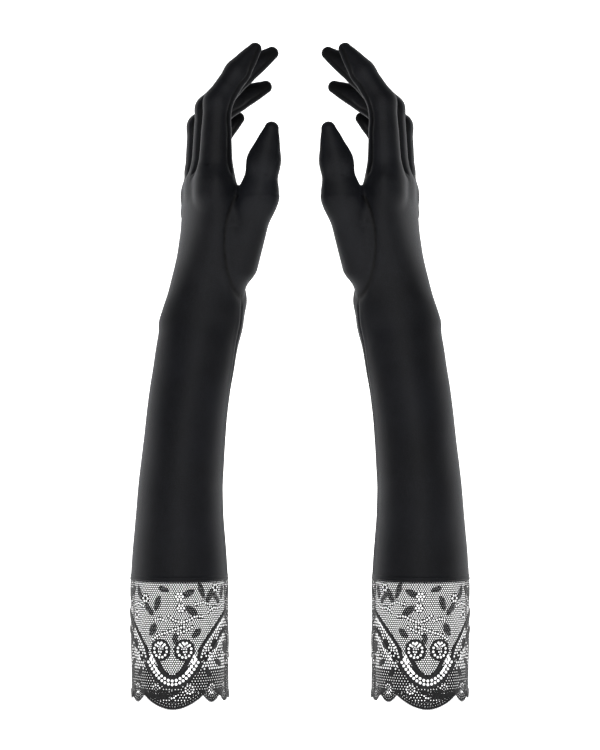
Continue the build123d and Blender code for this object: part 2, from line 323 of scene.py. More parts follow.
def gradient(distance, points, reach=0.4):
    slopes = [distance(points + reach * e) - distance(points - reach * e) for e in np.eye(3)]
    return np.column_stack(slopes) / (2 * reach)


def relax(points, quads, distance, rounds=3):
    """Evens out the mesh and lays it exactly on the surface; the open lower rim stays level."""
    edges = np.concatenate([quads[:, [a, (a + 1) % 4]] for a in range(4)])
    keys = np.sort(edges, axis=1)
    _, inverse, uses = np.unique(keys, axis=0, return_inverse=True, return_counts=True)
    rim = np.unique(edges[uses[inverse] == 1])
    for _ in range(rounds):
        sums, weights = np.zeros_like(points), np.zeros(len(points))
        np.add.at(sums, edges[:, 0], points[edges[:, 1]])
        np.add.at(weights, edges[:, 0], 1)
        np.add.at(sums, edges[:, 1], points[edges[:, 0]])
        np.add.at(weights, edges[:, 1], 1)
        moved = 0.5 * points + 0.5 * sums / np.maximum(weights, 1)[:, None]
        moved[rim] = points[rim]
        points = moved
        for _ in range(2):
            slope = gradient(distance, points)
            length = np.maximum((slope ** 2).sum(axis=1), 0.2)
            points = points - (distance(points) / length)[:, None] * slope
        points[rim, 2] = SEAM_HIGH - 1.0
    return points


# ---- seams and the pieces the cloth is divided into -------------------------------------------
PANEL_CENTRE = (50.0, 312.0)  # X, height of the thumb's leaf-shaped panel
PANEL_HALF = (18.5, 39.5)
PANEL_BACK, PANEL_REACH = -25.0, 27.0  # Y where the panel starts to close, and how far it runs on
THUMB_CROTCH = 346.5
THUMB_CUT = 358.0  # height where the thumb's end is a piece of its own
CUT_RISE = 4.5  # a finger's piece starts this far above the crotches beside it
FIRST_SPLIT, SECOND_SPLIT = 0.6, 0.55  # places of a finger's splits along its first two bones
SIDE_SEAM = ((80, -12.5), (139, -9.0), (215, -14.0), (258, -19.0), (278, -24.0))  # height, degrees
FINGER_SEAM = 0.77  # share of a finger's half width where the seams beside the fourchettes run

crotch_heights = [height for _, height in CROTCHES]
slab_edges = [-99.0] + [across for across, _ in CROTCHES] + [99.0]
finger_cuts = [
    max(crotch_heights[max(i - 1, 0):i + 1]) + CUT_RISE for i in range(len(FINGERS))
]


def panel_level(points):
    """Signed distance, in about millimetres, across the thumb panel's seam."""
    x, y, z = points.T
    oval = (np.minimum(0, x - PANEL_CENTRE[0]) / PANEL_HALF[0]) ** 2 + ((z - PANEL_CENTRE[1]) / PANEL_HALF[1]) ** 2
    back = np.maximum(0, y - PANEL_BACK) / PANEL_REACH
    return 15 * ((oval ** 2 + back ** 4) ** 0.25 - 1)


def finger_masks(points):
    """For each finger, which points its own pieces cover."""
    across = points @ BREADTH
    thumb = thumb_distance(points)
    masks = []
    for i, finger in enumerate(FINGERS):
        slab = (across > slab_edges[i]) & (across <= slab_edges[i + 1])
        high = points[:, 2] > finger_cuts[i]
        masks.append(slab & high & (finger.distance(points) < thumb))
    return masks


def thumb_mask(points):
    """Points of the thumb above its crotch."""
    high = (points[:, 2] > THUMB_CROTCH) & (points[:, 2] < THUMB_ROOF)
    near = thumb_distance(points) < np.minimum(arm_distance(points), FINGERS[0].distance(points))
    return high & near


def labels(points):
    """Name of the piece that each point belongs to."""
    names = np.full(len(points), "hand_cloth", dtype=object)
    thumb = thumb_mask(points)
    panel = (panel_level(points) < 0) & (points[:, 2] <= THUMB_CROTCH)
    names[panel | thumb] = "thumb_cloth"
    names[thumb & (points[:, 2] > THUMB_CUT)] = "thumb_tip_cloth"
    for finger, mask in zip(FINGERS, finger_masks(points)):
        first = finger.places[0] + finger.bones[0] * finger.lengths[0] * FIRST_SPLIT
        second = finger.places[1] + finger.bones[1] * finger.lengths[1] * SECOND_SPLIT
        past_first = (points - first) @ finger.bones[0] > 0
        past_second = (points - second) @ finger.bones[1] > 0
        names[mask] = f"{finger.name}_root_cloth"
        names[mask & past_first] = f"{finger.name}_middle_cloth"
        names[mask & past_first & past_second] = f"{finger.name}_tip_cloth"
    return names


def finger_seams(points):
    """Distance to the nearest seam beside a fourchette."""
    across = points @ BREADTH
    result = np.full(len(points), 9.0)
    for i, finger in enumerate(FINGERS):
        inside = (across > slab_edges[i]) & (across <= slab_edges[i + 1])
        inside &= points[:, 2] > finger_cuts[i] - CUT_RISE - 16
        best = np.full(len(points), 99.0)
        radius = np.full(len(points), finger.girths[0])
        palmward = np.zeros(len(points))
        for bone in range(3):
            start, end = finger.places[bone], finger.places[bone + 1]
            share = np.clip((points - start) @ (end - start) / ((end - start) @ (end - start)), 0, 1)
            gap = points - start - share[:, None] * (end - start)
            size = np.linalg.norm(gap, axis=1)
            nearer = size < best
            best[nearer] = size[nearer]
            power = 1.9 if bone == 2 else 1.0
            girth = finger.girths[bone] + (finger.girths[bone + 1] - finger.girths[bone]) * share ** power
            radius[nearer] = girth[nearer]
            palmward[nearer] = (gap @ np.cross(BREADTH, finger.bones[bone]))[nearer]
        offset = (across - finger.across) * SIDE_SQUEEZE
        line = np.abs(np.abs(offset) - FINGER_SEAM * radius)
        line[(palmward < 0) & (offset < 0) & (i == 0)] = 9
        line[(palmward < 0) & (offset > 0) & (i == 3)] = 9
        fade = np.clip((finger_cuts[i] - CUT_RISE - points[:, 2]) / 14, 0, 1)
        line = line + 9 * fade
        result[inside] = np.minimum(result[inside], line[inside])
    thumb = thumb_distance(points) < 1.5
    result[thumb & (arm_distance(points) > 1.5)] = 9
    return result


def seam_distance(points):
    """Distance to the nearest seam of the satin, up to 9 mm."""
    x, y, z = points.T
    centre = np.interp(z, SECTIONS[:, 0], SECTIONS[:, 1])
    angle = np.degrees(np.arctan2(y, x - centre))
    target = np.interp(z, [s[0] for s in SIDE_SEAM], [s[1] for s in SIDE_SEAM])
    side = np.abs(np.radians(angle - target)) * np.hypot(x - centre, y)
    side[(z > PANEL_CENTRE[1] - PANEL_HALF[1] + 8) | (panel_level(points) < -1)] = 9
    panel = np.abs(panel_level(points))
    panel[(z > THUMB_CROTCH - 1) | thumb_mask(points)] = 9
    panel[x < PANEL_CENTRE[0] - PANEL_HALF[0] - 6] = 9
    return np.minimum(np.minimum(side, panel), np.minimum(finger_seams(points), 9))


# ---- building meshes --------------------------------------------------------------------------
LIGHT_SINK = 0.06  # a piece runs on under its neighbour by one row of faces, sunk this far


def mirrored(points, side):
    """The points for this side: the right glove is the left one's mirror image."""
    points = np.array(points, float)
    if side == "right":
        points[..., 0] = 2 * MIDPLANE - points[..., 0]
    return points


def make_mesh(name, side, points, faces, values=None):
    """A smooth-shaded mesh object of this side's glove from millimetres; values are point attributes."""
    flip = side == "right"
    mesh = bpy.data.meshes.new(f"{side}_{name}")
    places = mirrored(points, side) / MM
    faces = [tuple(int(i) for i in (face[::-1] if flip else face)) for face in faces]
    mesh.from_pydata([tuple(p) for p in places], [], faces)
    mesh.shade_smooth()
    for key, data in (values or {}).items():
        mesh.attributes.new(key, "FLOAT", "POINT").data.foreach_set("value", np.asarray(data, np.float32))
    mesh.validate()
    obj = bpy.data.objects.new(f"{side}_{name}", mesh)
    bpy.context.scene.collection.objects.link(obj)
    return obj


def place(point, side):
    """A point of the left glove in metres for this side."""
    return Vector(mirrored(point, side) / MM)


def cut_out(points, quads, chosen, normals):
    """The chosen faces and one row more, whose far corners are sunk a little."""
    own = np.zeros(len(points), bool)
    own[quads[chosen].ravel()] = True
    rows = own[quads].any(axis=1)
    used = np.unique(quads[rows])
    number = np.full(len(points), -1)
    number[used] = np.arange(len(used))
    sunk = points - np.where(own, 0, LIGHT_SINK)[:, None] * normals
    return sunk[used], number[quads[rows]], used


points, quads = surface(glove_distance)
points = relax(points, quads, glove_distance)
used = np.unique(quads)
renumber = np.full(len(points), -1)
renumber[used] = np.arange(len(used))
points, quads = points[used], renumber[quads]
normals = gradient(glove_distance, points)
normals /= np.maximum(np.linalg.norm(normals, axis=1), 1e-6)[:, None]
seams = seam_distance(points)
SEAM_DIP, SEAM_PUFF = 0.7, 0.25
points = points + normals * (
    SEAM_PUFF * np.exp(-((seams - 2.6) / 1.5) ** 2) - SEAM_DIP * np.exp(-(seams / 0.9) ** 2)
)[:, None]
piece_of = labels(points[quads].mean(axis=1))

# For each piece: the two CAD bodies it lies between, where a bend between them would start and end, and the CAD
# nodes it stands for. Only the nodes are used below; the pieces are not made to bend.
WRIST_ZONE = (-18.0, 14.0)  # heights from the wrist hinge
FOURCHETTES = [f"fourchette_{a}_{b}" for a, b in zip(FINGER_NAMES, FINGER_NAMES[1:])]
arm_line = unit(np.array((0.14, 0.0, 1.0)))
bends = {
    "hand_cloth": (
        "sleeve", "palm", WRIST + arm_line * WRIST_ZONE[0], WRIST + arm_line * WRIST_ZONE[1],
        ["sleeve", "hand"] + FOURCHETTES,
    ),
    "thumb_cloth": (
        "palm", "thumb", thumb_places[0] + UP * (THUMB_CROTCH + 1 - thumb_places[0][2]),
        thumb_places[0] + UP * (THUMB_CUT - 1.5 - thumb_places[0][2]), ["thumb_gusset", "thumb_proximal"],
    ),
    "thumb_tip_cloth": (
        "thumb", "thumb_end", thumb_places[1] + UP * (THUMB_CUT + 2 - thumb_places[1][2]),
        thumb_places[1] + UP * 7, ["thumb_tip"],
    ),
}
for finger, cut in zip(FINGERS, finger_cuts):
    root, middle, tip, _ = finger.places
    split = FIRST_SPLIT * finger.lengths[0]
    start = root + UP * (cut + 1.5 - root[2])
    end = start + UP * min(14.0, finger.lengths[0] * FIRST_SPLIT - (start[2] - root[2]) - 1.5)
    half = min(finger.lengths[0] - split - 3.9, SECOND_SPLIT * finger.lengths[1] - 3.0)
    small = min((1 - SECOND_SPLIT) * finger.lengths[1] - 1.6, 8.0)
    name = finger.name
    bends[f"{name}_root_cloth"] = ("palm", f"{name}_proximal", start, end, [f"{name}_proximal"])
    bends[f"{name}_middle_cloth"] = (
        f"{name}_proximal", f"{name}_middle",
        middle - finger.bones[0] * half, middle + finger.bones[1] * half, [f"{name}_middle"],
    )
    bends[f"{name}_tip_cloth"] = (
        f"{name}_middle", f"{name}_tip",
        tip - finger.bones[1] * small, tip + finger.bones[2] * small, [f"{name}_tip"],
    )

cloth_pieces = {side: {} for side in SIDES}
for name, (near, far, start, end, nodes) in bends.items():
    shape, faces, kept = cut_out(points, quads, piece_of == name, normals)
    # The seam distance is kept on each piece; the satin material paints shade along the seams from it.
    values = {"seam": seams[kept], "height": points[kept, 2]}
    for side in SIDES:
        obj = make_mesh(name, side, shape, faces, values)
        place(start, side)
        place(end, side)
        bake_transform(obj)
        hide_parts(*[f"{side}_{node}" for node in nodes])
        cloth_pieces[side][name] = obj

# ---- the band that joins lace and satin -------------------------------------------------------
BAND_PROFILE = (  # distance out from the cloth, height from the band's lower edge
    (-0.6, -0.3), (0.05, -0.25), (0.3, 0.1), (0.36, 0.6), (0.3, 1.2), (0.1, 1.6), (0.22, 2.1),
    (0.24, 2.8), (0.18, 3.4), (0.0, 3.9), (-0.6, 4.0),
)
BAND_STEPS = 256


def cuff_point(theta, height, out):
    """A point on the cuff's oval at an angle in radians, a height and a distance outwards."""
    _, thick, broad = smooth_steps(np.full_like(np.asarray(theta, float), 1.0) * height)
    normal = np.stack((np.cos(theta) * broad, np.sin(theta) * thick), axis=-1)
    normal /= np.linalg.norm(normal, axis=-1)[..., None]
    x = thick * np.cos(theta) + out * normal[..., 0]
    y = broad * np.sin(theta) + out * normal[..., 1]
    return np.stack((x, y, np.broadcast_to(height, x.shape)), axis=-1)


def tube_along(path, radius, sides=6, closed=False):
    """A round tube's points and quads along a list of points."""
    path = np.asarray(path, float)
    if closed:
        ahead = np.roll(path, -1, axis=0) - np.roll(path, 1, axis=0)
    else:
        ahead = np.gradient(path, axis=0)
    ahead /= np.maximum(np.linalg.norm(ahead, axis=1), 1e-9)[:, None]
    out = path * np.array((1, 1, 0))
    across = np.cross(ahead, out)
    across /= np.maximum(np.linalg.norm(across, axis=1), 1e-9)[:, None]
    up = np.cross(across, ahead)
    turns = np.linspace(0, tau, sides, endpoint=False)
    ring = np.cos(turns)[None, :, None] * up[:, None] + np.sin(turns)[None, :, None] * across[:, None]
    places = (path[:, None] + radius * ring).reshape(-1, 3)
    rows = len(path) if closed else len(path) - 1
    faces = []
    for i in range(rows):
        j = (i + 1) % len(path)
        for k in range(sides):
            m = (k + 1) % sides
            faces.append((i * sides + k, j * sides + k, j * sides + m, i * sides + m))
    if not closed:
        faces.append(tuple(range(sides))[::-1])
        faces.append(tuple((len(path) - 1) * sides + k for k in range(sides)))
    return places, faces


def joined(parts):
    """Several points-and-faces pairs as one."""
    places, faces, count = [], [], 0
    for p, f in parts:
        places.append(np.asarray(p, float))
        faces += [tuple(i + count for i in face) for face in f]
        count += len(p)
    return np.concatenate(places), faces


turns = np.linspace(0, tau, BAND_STEPS, endpoint=False)
rows = [cuff_point(turns, SEAM_LOW + rise, out) for out, rise in BAND_PROFILE]
band = np.concatenate(rows)
band_faces = []
for i in range(len(rows) - 1):
    for k in range(BAND_STEPS):
        m = (k + 1) % BAND_STEPS
        low, high = i * BAND_STEPS, (i + 1) * BAND_STEPS
        band_faces.append((low + k, low + m, high + m, high + k))
STITCH_PITCH = 2.1
stitches = []
girth = pi * (33.1 + 38.0)
count = int(girth / STITCH_PITCH)
for i in range(count):
    middle = tau * (i + 0.5) / count
    half_length = tau / count * 0.36
    angles = middle + np.linspace(-half_length, half_length, 5)
    lift = 0.36 + 0.14 * np.sin(np.linspace(0, pi, 5))
    path = np.array([cuff_point(np.array([a]), SEAM_LOW + 0.95, o)[0] for a, o in zip(angles, lift)])
    stitches.append(tube_along(path, 0.17, 5))
stitch_points, stitch_faces = joined(stitches)

# ---- lace -------------------------------------------------------------------------------------
# The lace is drawn flat, with x along the cloth from the middle of a motif and y up from the
# lowest scallops. It is positive in thread and negative in a hole, in millimetres.
REPEAT = 94.0
MOTIF_ANGLE = -96.0  # degrees round the cuff of the front motif's middle
LACE_SEAM = -13.0  # degrees where the lace's two ends are sewn together
LARGE_HALF, SMALL_WIDTH = 21.5, 17.0
CUSP_LEVEL, LARGE_LEVEL, SMALL_LEVEL = 10.5, 1.0, 5.4
LACE_TOP = SEAM_LOW + 1.6
LACE_STEP = 0.4
NET_PITCH, NET_HOLE = 1.6, 0.51
LEAF_PITCH, LEAF_HOLE = 2.3, 0.7


def net(x, y, pitch, radius):
    """Round holes in a triangular grid."""
    row = pitch * 0.8660254
    best = np.full(np.shape(x), 9.0)
    base = np.round(y / row)
    for step in (-1, 0, 1):
        line = base + step
        shift = (line % 2) * pitch / 2
        column = np.round((x - shift) / pitch)
        best = np.minimum(best, np.hypot(x - column * pitch - shift, y - line * row))
    return best - radius


def nearest(x, y, places):
    """Distance to the nearest of some places."""
    best = np.full(np.shape(x), 99.0)
    for px, py in places:
        best = np.minimum(best, np.hypot(x - px, y - py))
    return best


def to_line(x, y, line):
    """Distance to a line of straight stretches."""
    best = np.full(np.shape(x), 99.0)
    for (ax, ay), (bx, by) in zip(line, line[1:]):
        length = (bx - ax) ** 2 + (by - ay) ** 2
        share = np.clip(((x - ax) * (bx - ax) + (y - ay) * (by - ay)) / length, 0, 1)
        best = np.minimum(best, np.hypot(x - ax - share * (bx - ax), y - ay - share * (by - ay)))
    return best


def along(line, pitch):
    """Evenly spaced places along a line."""
    line = np.array(line, float)
    steps = np.hypot(*np.diff(line, axis=0).T)
    reach = np.concatenate(([0], np.cumsum(steps)))
    marks = np.linspace(0, reach[-1], max(2, int(round(reach[-1] / pitch)) + 1))
    return list(zip(np.interp(marks, reach, line[:, 0]), np.interp(marks, reach, line[:, 1])))


def both(places):
    return list(places) + [(-x, y) for x, y in places]


def ring_of(cx, cy, radius, count, tilt=0.0, squash=1.0):
    return [
        (cx + radius * cos(tau * i / count + tilt), cy + squash * radius * sin(tau * i / count + tilt))
        for i in range(count)
    ]


def scallop_edge(x):
    """Height of the lace's lower edge."""
    x = np.abs(x)
    large = LARGE_LEVEL + (CUSP_LEVEL - LARGE_LEVEL) * np.clip(x / LARGE_HALF, 0, 1) ** 1.9
    place_in = (x - LARGE_HALF) % SMALL_WIDTH - SMALL_WIDTH / 2
    small = SMALL_LEVEL + (CUSP_LEVEL - SMALL_LEVEL) * (2 * np.abs(place_in) / SMALL_WIDTH) ** 2.0
    return np.where(x < LARGE_HALF, large, small)


SPREAD = np.linspace(-19.5, 19.5, 25)
u_line = [(x, 16.2 + 15.5 * (abs(x) / 19.5) ** 2) for x in SPREAD]
u_rows = [  # rows of large holes in the U-shaped border: share of the way to the shield, half width
    [(x, 16.2 + lift + (15.5 + 1.2 * lift) * (abs(x) / 19.5) ** 2) for x in SPREAD[skip:25 - skip]]
    for lift, skip in ((1.6, 1), (4.1, 2))
]
u_wings = [[(10.5, 26.4), (15.8, 33.8)], [(13.4, 33.2), (15.0, 36.4)]]
TIP_SPREAD = np.linspace(-12.7, 12.7, 21)
shield = [(x, 22.3 + 14 * (abs(x) / 12.7) ** 1.5) for x in TIP_SPREAD]
v_outer = [(18.0, 33.0), (19.6, 40.0), (24.0, 46.5), (31.0, 54.0), (38.5, 60.5), (47.0, 66.0)]
v_inner = [(24.0, 33.0), (29.0, 40.0), (36.0, 47.5), (47.0, 54.5)]
bead_rows = [
    [(-2.5, 63.7), (1.5, 60.6), (6.8, 59.3), (11.8, 61.2), (16.0, 63.4), (21.1, 63.1)],
    [(-12.0, 61.0), (-8.0, 61.6), (-4.5, 60.6)],
    [(-14.0, 47.8), (-9.5, 51.0), (-3.5, 52.6), (2.0, 54.8), (8.0, 56.6)],
    [(4.0, 52.0), (9.0, 53.8), (13.5, 56.0)],
    [(26.0, 66.0), (31.0, 68.6), (36.5, 68.0), (41.0, 70.2)],
    [(-40.0, 72.0), (-34.0, 70.0), (-28.5, 71.4), (-23.0, 69.6)],
    [(16.0, 71.5), (22.0, 72.6), (27.5, 70.8)],
]
toile_leaves = (  # centre across and up, half width, half height, lean; in the upper field
    (-14.0, 54.5, 2.6, 4.8, -0.5), (-17.5, 68.0, 2.2, 5.6, 0.7), (-10.5, 72.0, 2.3, 5.4, -0.3),
    (13.5, 67.0, 2.6, 5.2, 0.9), (10.5, 78.5, 2.2, 5.6, -1.1), (20.5, 80.5, 2.0, 6.0, 0.4),
    (2.0, 48.5, 1.8, 4.0, 0.0), (16.8, 52.0, 2.2, 4.4, -0.8), (27.5, 77.0, 2.4, 5.6, -0.6),
    (34.0, 75.0, 2.0, 5.0, 0.8), (40.5, 79.0, 2.4, 5.2, -0.2), (-27.0, 78.5, 2.3, 5.6, 0.5),
    (-36.0, 79.5, 2.0, 5.0, -0.9), (-6.0, 81.5, 1.8, 4.2, 1.3), (-42.0, 76.5, 2.2, 4.6, 0.3),
)
dark_leaves = (  # in the side panels, mirrored about the motif's middle
    (32.5, 44.2, 3.1, 3.8, 0.5), (21.8, 36.2, 1.9, 3.4, -0.5), (40.5, 51.5, 1.5, 4.2, -0.9),
    (36.5, 31.5, 2.0, 4.4, 1.1), (45.0, 41.5, 2.2, 4.2, 0.2), (26.5, 25.5, 1.7, 4.2, 0.7),
)


def leaf(u0, v0, cx, cy, half, tall, lean):
    """Distance, positive inside, to a leaf's outline."""
    u = (u0 - cx) * cos(lean) + (v0 - cy) * sin(lean)
    v = (v0 - cy) * cos(lean) - (u0 - cx) * sin(lean)
    return half * (1 - np.sqrt((u / half) ** 2 + (v / tall) ** 2))


def scroll_distance(x, y):
    """Distance from the middle of the nearer of the twin scrolls."""
    return np.hypot(np.abs(x) - 8.4, (y - 40.8) / 1.06)


def lace_pattern(x, y):
    """Thread (positive) and holes (negative) of the lace."""
    s = np.abs(x)
    edge = y - scallop_edge(x)
    under_v = np.interp(s, [p[0] for p in v_outer], [p[1] for p in v_outer])
    u_height = 16.2 + 15.5 * (s / 19.5) ** 2
    # upper field: a fine net whose holes close up in the toile's leaves
    hole = np.full(np.shape(x), NET_HOLE)
    for shape in toile_leaves:
        hole = np.where(leaf(x, y, *shape) > 0, 0.24, hole)
    cloth = net(x, y, NET_PITCH, 0) - hole
    # side panels, and everything under the U-shaped border, are close cloth with small holes
    panel = (s > 18.0) & (y < under_v)
    close = net(x, y, LEAF_PITCH, LEAF_HOLE)
    cloth = np.where(panel, close, cloth)
    low = (y < u_height) & (s < 21.5) | (y < 27) & (s >= 21.5)
    cloth = np.where(low, net(x, y, 2.1, 0.4), cloth)
    border = (y < u_height + 9) & (y > u_height) & (s < 17)
    in_shield = (s < 12.7) & (y > 22.3 + 14 * (s / 12.7) ** 1.5) & (y < 36.4)
    cloth = np.where(border & ~in_shield, 0.6, cloth)
    dense = [4.4 - edge, 1.4 - to_line(x, y, u_line), 1.2 - to_line(x, y, shield)]
    for row in bead_rows:
        dense.append(1.1 - to_line(x, y, row))
    for cx, cy in ((4.9, 76.7), (5.9, 68.9), (-31.0, 63.5), (-21.0, 75.0), (33.0, 82.0)):
        dense.append(3.3 - np.hypot(x - cx, y - cy))
    scroll = scroll_distance(x, y)
    dense.append(np.minimum(7.1 - scroll, scroll - 2.3))
    dense.append(2.7 - np.hypot(s - 8.9, y - 38.6))
    for line, half in ((v_outer, 1.6), (v_inner, 0.9)):
        dense.append(half - to_line(s, y, line))
    for shape in dark_leaves:
        dense.append(leaf(s, y, *shape))
    dots = ((11.8, 13.9, 4.2), (30.0, 15.5, 4.2), (47.0, 15.0, 4.0), (25.5, 38.3, 3.2), (38.0, 38.0, 3.0))
    for cx, cy, radius in dots:
        dense.append(radius - np.hypot(s - cx, y - cy))
    dense.append(3.8 - np.hypot(s, y - 10.8))
    cloth = np.maximum(cloth, np.max(dense, axis=0))
    holes = []
    for height, pitch, radius in ((1.9, 1.9, 0.26), (3.7, 2.2, 0.3)):
        rows = [(a, float(scallop_edge(np.array(a))) + height) for a in np.arange(-47, 47.01, 0.5)]
        holes.append((along(rows, pitch), radius))
    for row in u_rows:
        holes.append((along(row, 2.75), 0.97))
    for row in u_wings:
        holes.append((both(along(row, 2.6)), 0.9))
    holes.append((both(ring_of(8.4, 40.8, 4.7, 12, 0.2, 1.06)), 0.84))
    holes.append((both(ring_of(8.4, 42.2, 2.3, 6, 0.5)[:3]), 0.66))
    holes.append((both([(7.9, 39.6), (9.6, 39.8), (8.8, 37.9)]), 0.62))
    for cx in (11.8, 30.0, 47.0):
        holes.append((both(ring_of(cx, 14.4, 2.8, 9)), 0.58))
        holes.append((both(ring_of(cx, 14.4, 1.1, 4)), 0.38))
    holes.append((ring_of(0, 11.2, 2.6, 9, 0.35) + [(-1.0, 11.0), (1.0, 11.0)], 0.55))
    holes.append((ring_of(4.9, 76.7, 2.2, 6) + [(4.9, 76.7)], 0.8))
    holes.append((ring_of(5.9, 68.9, 2.1, 6) + [(5.9, 68.9)], 0.76))
    holes.append((ring_of(-31.0, 63.5, 2.2, 6), 0.8))
    holes.append((ring_of(-21.0, 75.0, 2.1, 6), 0.78))
    holes.append((ring_of(33.0, 82.0, 2.1, 6), 0.78))
    for row in bead_rows:
        holes.append((along(row, 1.95), 0.68))
    holes.append((both(ring_of(25.5, 38.3, 2.1, 6)), 0.62))
    holes.append((both(ring_of(38.0, 38.0, 1.9, 6)), 0.58))
    holes.append((both(along([(20.4, 36.0), (22.8, 42.5), (28.5, 48.6), (36.0, 55.5), (45.0, 61.5)], 2.3)), 0.72))
    holes.append((both(along([(27.5, 34.4), (32.0, 38.6), (38.0, 44.6), (47.0, 51.0)], 2.3)), 0.66))
    for places, radius in holes:
        cloth = np.minimum(cloth, nearest(x, y, places) - radius)
    return np.minimum(cloth, edge)


def lace_relief(x, y):
    """Height of the raised cords over the lace's ground."""
    s = np.abs(x)
    edge = y - scallop_edge(x)
    raised = 0.45 * np.exp(-((edge - 0.7) / 0.6) ** 2)
    for line, width in ((u_line, 0.85), (shield, 0.75)):
        raised = np.maximum(raised, 0.4 * np.exp(-(to_line(x, y, line) / width) ** 2))
    for line, width in ((v_outer, 1.0), (v_inner, 0.6)):
        raised = np.maximum(raised, 0.45 * np.exp(-(to_line(s, y, line) / width) ** 2))
    scroll = scroll_distance(x, y)
    raised = np.maximum(raised, 0.45 * np.exp(-((scroll - 6.3) / 0.6) ** 2))
    for shape in toile_leaves:
        raised = np.maximum(raised, 0.22 * (leaf(x, y, *shape) > 0.1))
    return raised


def marched(x, y, values):
    """Faces of the part of a flat grid where the values are positive, cut at the zero line."""
    columns, lines = len(x), len(y)
    inside = values > 0
    index = np.arange(columns * lines).reshape(columns, lines)
    gx, gy = np.meshgrid(x, y, indexing="ij")
    places = [np.column_stack((gx.ravel(), gy.ravel()))]
    count = columns * lines
    edges = []
    for axis in (0, 1):
        a = values[:-1, :] if axis == 0 else values[:, :-1]
        b = values[1:, :] if axis == 0 else values[:, 1:]
        crossed = (a > 0) != (b > 0)
        share = np.clip(np.where(crossed, a / np.where(crossed, a - b, 1), 0), 0.08, 0.92)
        number = np.full(a.shape, -1)
        number[crossed] = count + np.arange(crossed.sum())
        count += int(crossed.sum())
        i, j = np.nonzero(crossed)
        step = share[crossed]
        if axis == 0:
            places.append(np.column_stack((x[i] + step * (x[i + 1] - x[i]), y[j])))
        else:
            places.append(np.column_stack((x[i], y[j] + step * (y[j + 1] - y[j]))))
        edges.append(number)
    faces = []
    full = inside[:-1, :-1] & inside[1:, :-1] & inside[1:, 1:] & inside[:-1, 1:]
    any_in = inside[:-1, :-1] | inside[1:, :-1] | inside[1:, 1:] | inside[:-1, 1:]
    i, j = np.nonzero(full)
    faces += list(zip(index[i, j], index[i + 1, j], index[i + 1, j + 1], index[i, j + 1]))
    for i, j in zip(*np.nonzero(any_in & ~full)):
        ring = ((i, j), (i + 1, j), (i + 1, j + 1), (i, j + 1))
        sides = (edges[0][i, j], edges[1][i + 1, j], edges[0][i, j + 1], edges[1][i, j])
        states = [inside[c] for c in ring]
        loop = []
        for k in range(4):
            if states[k]:
                loop.append(index[ring[k]])
            if sides[k] >= 0:
                loop.append(sides[k])
        crossings = sum(side >= 0 for side in sides)
        if crossings == 4:
            for k in range(4):
                if states[k]:
                    faces.append((sides[k - 1], index[ring[k]], sides[k]))
        elif len(loop) >= 3:
            faces.append(tuple(loop))
    return np.concatenate(places), faces


start_angle, end_angle = radians(LACE_SEAM - 360), radians(LACE_SEAM)
fine_turns = np.linspace(start_angle, end_angle, 2001)
outline = cuff_point(fine_turns, SEAM_LOW - 20, 0.0)
reach = np.concatenate(([0], np.cumsum(np.linalg.norm(np.diff(outline, axis=0), axis=1))))
lace_girth = reach[-1]
motif_reach = np.interp(radians(MOTIF_ANGLE), fine_turns, reach)
grid_x = np.linspace(0, lace_girth, int(lace_girth / LACE_STEP) + 1)
grid_y = np.arange(0.2, LACE_TOP + 0.01, LACE_STEP)
flat_x, flat_y = np.meshgrid(grid_x, grid_y, indexing="ij")


def motif_x(x):
    return (x - motif_reach + REPEAT / 2) % REPEAT - REPEAT / 2


pattern = lace_pattern(motif_x(flat_x), flat_y)
pattern = np.maximum(pattern, np.where(flat_y > LACE_TOP - 1.5, 0.4, -9))
pattern = np.minimum(pattern, flat_y - scallop_edge(motif_x(flat_x)))
flat_points, lace_faces = marched(grid_x, grid_y, pattern)
kept = np.unique(np.concatenate([np.array(face) for face in lace_faces]))
renumber = np.full(len(flat_points), -1)
renumber[kept] = np.arange(len(kept))
flat_points = flat_points[kept]
lace_faces = [tuple(int(renumber[i]) for i in face) for face in lace_faces]


def ripple(angle, height):
    """Slight waviness of the lace towards its free edge."""
    slack = np.clip(1 - height / 60, 0, 1)
    return slack * (0.5 * np.sin(5 * angle + 0.8) + 0.3 * np.sin(11 * angle + 0.06 * height))


def on_cuff(x, y, out):
    angle = np.interp(x, reach, fine_turns)
    flare = np.interp(y, (0, 30, 60, LACE_TOP), (-0.6, -0.5, -0.2, -0.1))
    return cuff_point(angle, y, out + flare + ripple(angle, y))


relief = lace_relief(motif_x(flat_points[:, 0]), flat_points[:, 1])
seam_gap = np.minimum(flat_points[:, 0], lace_girth - flat_points[:, 0])
relief = np.maximum(relief, 0.5 * np.exp(-(seam_gap / 1.2) ** 2))
lace_points = on_cuff(flat_points[:, 0], flat_points[:, 1], 0.1 + relief)
picot_parts = []
PICOT_PITCH, PICOT_RADIUS = 1.45, 0.42
edge_line = [(a, float(scallop_edge(motif_x(np.array(a))))) for a in np.arange(0.4, lace_girth - 0.4, 0.25)]
for px, py in along(edge_line, PICOT_PITCH):
    loop = [(px + PICOT_RADIUS * cos(t), py - 0.25 + PICOT_RADIUS * sin(t)) for t in np.linspace(0, tau, 9)[:-1]]
    path = on_cuff(np.array([p[0] for p in loop]), np.array([p[1] for p in loop]), 0.25)
    picot_parts.append(tube_along(path, 0.16, 4, closed=True))
picot_points, picot_faces = joined(picot_parts)
